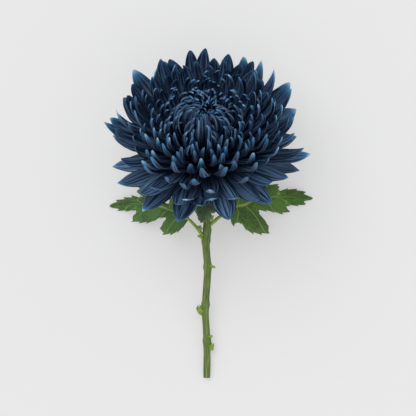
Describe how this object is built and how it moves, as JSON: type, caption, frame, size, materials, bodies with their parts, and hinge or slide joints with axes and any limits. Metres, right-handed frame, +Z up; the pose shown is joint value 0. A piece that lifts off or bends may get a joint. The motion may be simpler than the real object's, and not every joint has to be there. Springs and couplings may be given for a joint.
{
  "type": "disbud chrysanthemum cut flower",
  "caption": "Cut chrysanthemum with one large incurving bloom, lying down on a leafy, slightly bent stem.",
  "frame": {"origin": "middle of the footprint, on the surface the flower lies on", "axes": "+Z up from that surface; +Y along the stem from its cut end towards the bloom; +X to the right seen from above with the bloom at the far end"},
  "size_m": [0.1434, 0.2285, 0.1195],
  "materials": {
    "guard_floret": "satin petal skin, long fine veins, pale blue tips",
    "inner_floret": "satin petal skin, ridged grey-blue backs, light blue hooded tips",
    "leaf": "matt leaf with light raised veins",
    "stem": "satin green, ribbed lengthwise",
    "receptacle": "matt green with papery bract edges",
    "bud": "matt light green scales"
  },
  "bodies": {
    "root": {"bud_foot_right": "bud", "bud_left_axil": "bud", "bud_lower_left": "bud", "bud_right_axil": "bud", "floret_whorl_1": "inner_floret", "floret_whorl_2": "inner_floret", "floret_whorl_3": "inner_floret", "floret_whorl_4": "inner_floret", "floret_whorl_5": "inner_floret", "floret_whorl_6": "inner_floret", "floret_whorl_7": "inner_floret", "floret_whorl_8": "inner_floret", "guard_floret_a1": "guard_floret", "guard_floret_a10": "guard_floret", "guard_floret_a11": "guard_floret", "guard_floret_a12": "guard_floret", "guard_floret_a13": "guard_floret", "guard_floret_a2": "guard_floret", "guard_floret_a3": "guard_floret", "guard_floret_a4": "guard_floret", "guard_floret_a5": "guard_floret", "guard_floret_a6": "guard_floret", "guard_floret_a7": "guard_floret", "guard_floret_a8": "guard_floret", "guard_floret_a9": "guard_floret", "guard_floret_b1": "guard_floret", "guard_floret_b10": "guard_floret", "guard_floret_b11": "guard_floret", "guard_floret_b12": "guard_floret", "guard_floret_b13": "guard_floret", "guard_floret_b2": "guard_floret", "guard_floret_b3": "guard_floret", "guard_floret_b4": "guard_floret", "guard_floret_b5": "guard_floret", "guard_floret_b6": "guard_floret", "guard_floret_b7": "guard_floret", "guard_floret_b8": "guard_floret", "guard_floret_b9": "guard_floret", "guard_floret_c1": "guard_floret", "guard_floret_c10": "guard_floret", "guard_floret_c11": "guard_floret", "guard_floret_c12": "guard_floret", "guard_floret_c13": "guard_floret", "guard_floret_c2": "guard_floret", "guard_floret_c3": "guard_floret", "guard_floret_c4": "guard_floret", "guard_floret_c5": "guard_floret", "guard_floret_c6": "guard_floret", "guard_floret_c7": "guard_floret", "guard_floret_c8": "guard_floret", "guard_floret_c9": "guard_floret", "leaf_left": "leaf", "leaf_right": "leaf", "leaf_upper": "leaf", "receptacle": "receptacle", "stem": "stem"}
  },
  "joints": []
}
